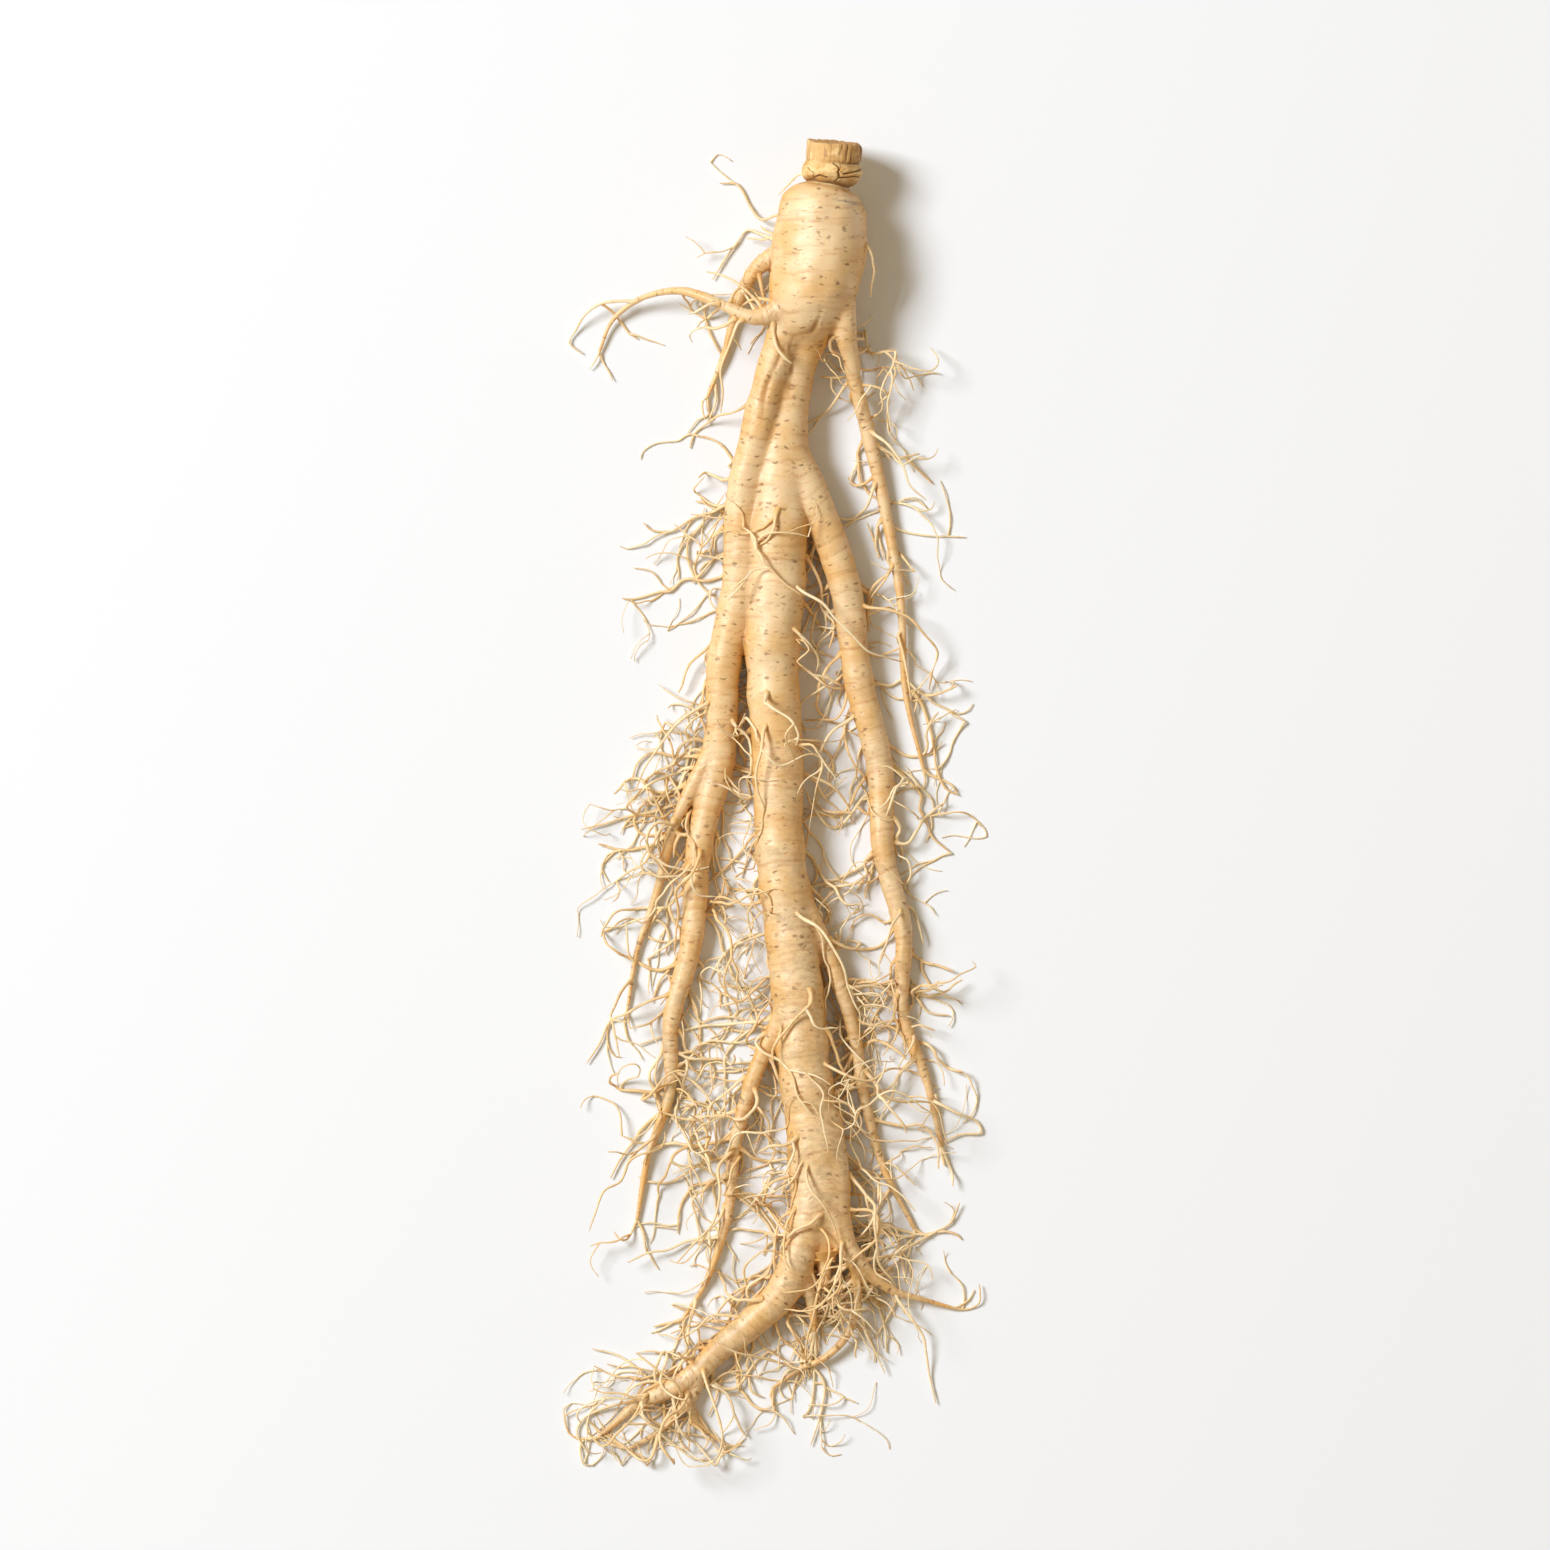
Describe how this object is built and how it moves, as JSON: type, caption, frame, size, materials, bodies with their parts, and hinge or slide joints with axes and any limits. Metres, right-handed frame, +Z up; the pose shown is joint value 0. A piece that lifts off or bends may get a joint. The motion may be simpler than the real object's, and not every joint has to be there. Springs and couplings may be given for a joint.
{
  "type": "ginseng root",
  "caption": "Fresh ginseng root lying on its side, with a cut stem stub, a wrinkled collar, a barrel-shaped body, forked legs and fine rootlets.",
  "frame": {"origin": "centre of the bottom of the root's box, on the surface that it lies on", "axes": "+Y along the root towards its crown, +X to the right seen from above with the crown away, +Z up"},
  "size_m": [0.091, 0.2916, 0.0203],
  "materials": {
    "root_skin": "fresh cream to light tan root skin, slightly waxy, with short brown crosswise pores"
  },
  "bodies": {
    "root": {"ginseng_root": "root_skin"}
  },
  "joints": []
}
